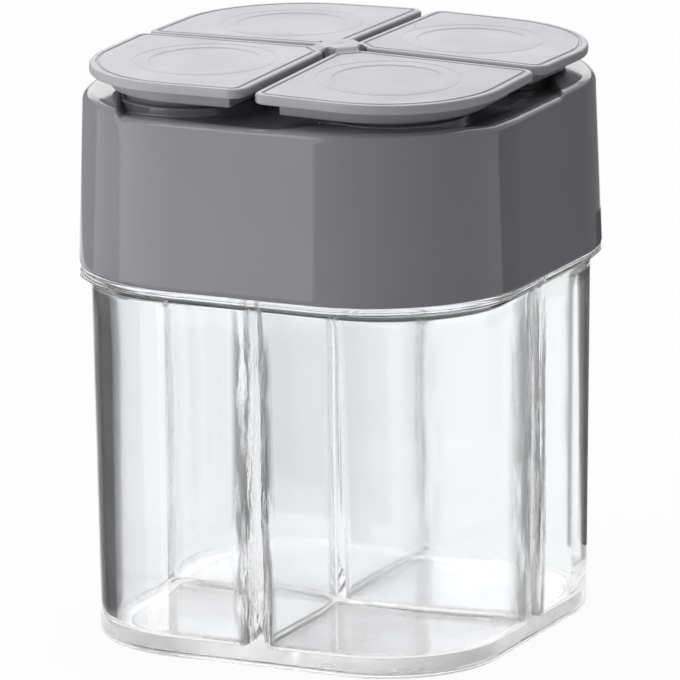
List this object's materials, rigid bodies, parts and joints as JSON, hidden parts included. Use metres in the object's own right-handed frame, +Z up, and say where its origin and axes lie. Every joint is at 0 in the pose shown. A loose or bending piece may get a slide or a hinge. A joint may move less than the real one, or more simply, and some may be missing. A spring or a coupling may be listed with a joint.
{
  "type": "spice storage box",
  "caption": "Square clear spice jar with a cross divider, a grey push-on cap and petal-shaped flip flaps that hinge on a central hub.",
  "frame": {"origin": "centre of the jar's footprint, on the surface it stands on", "axes": "+Z up, -Y towards the front face, +X to the right face"},
  "size_m": [0.084, 0.084, 0.1049],
  "materials": {
    "clear_plastic": "clear, polished, moulded",
    "cap_plastic": "polished, moulded, warm mid grey",
    "flap_plastic": "satin, moulded, light grey"
  },
  "bodies": {
    "jar": {"jar_body": "clear_plastic"},
    "cap": {"cap_shell": "cap_plastic", "flap_hub": "flap_plastic"},
    "flap_front_right": {"flap_front_right": "flap_plastic"},
    "flap_back_right": {"flap_back_right": "flap_plastic"},
    "flap_back_left": {"flap_back_left": "flap_plastic"},
    "flap_front_left": {"flap_front_left": "flap_plastic"}
  },
  "joints": [
    {"name": "cap_lift", "type": "slide", "parent": "jar", "child": "cap", "axis": [0, 0, 1], "range_m": [0, 0.04]},
    {"name": "front_right_flap_hinge", "type": "hinge", "parent": "cap", "child": "flap_front_right", "pos_m": [0.00276, -0.00276, 0.10424], "axis": [-0.7071, -0.7071, 0], "range_deg": [0, 92]},
    {"name": "back_right_flap_hinge", "type": "hinge", "parent": "cap", "child": "flap_back_right", "pos_m": [0.00276, 0.00276, 0.10424], "axis": [-0.7071, 0.7071, 0], "range_deg": [-92, 0]},
    {"name": "back_left_flap_hinge", "type": "hinge", "parent": "cap", "child": "flap_back_left", "pos_m": [-0.00276, 0.00276, 0.10424], "axis": [0.7071, 0.7071, 0], "range_deg": [0, 92]},
    {"name": "front_left_flap_hinge", "type": "hinge", "parent": "cap", "child": "flap_front_left", "pos_m": [-0.00276, -0.00276, 0.1043], "axis": [0.7071, -0.7071, 0], "range_deg": [-92, 0]}
  ]
}
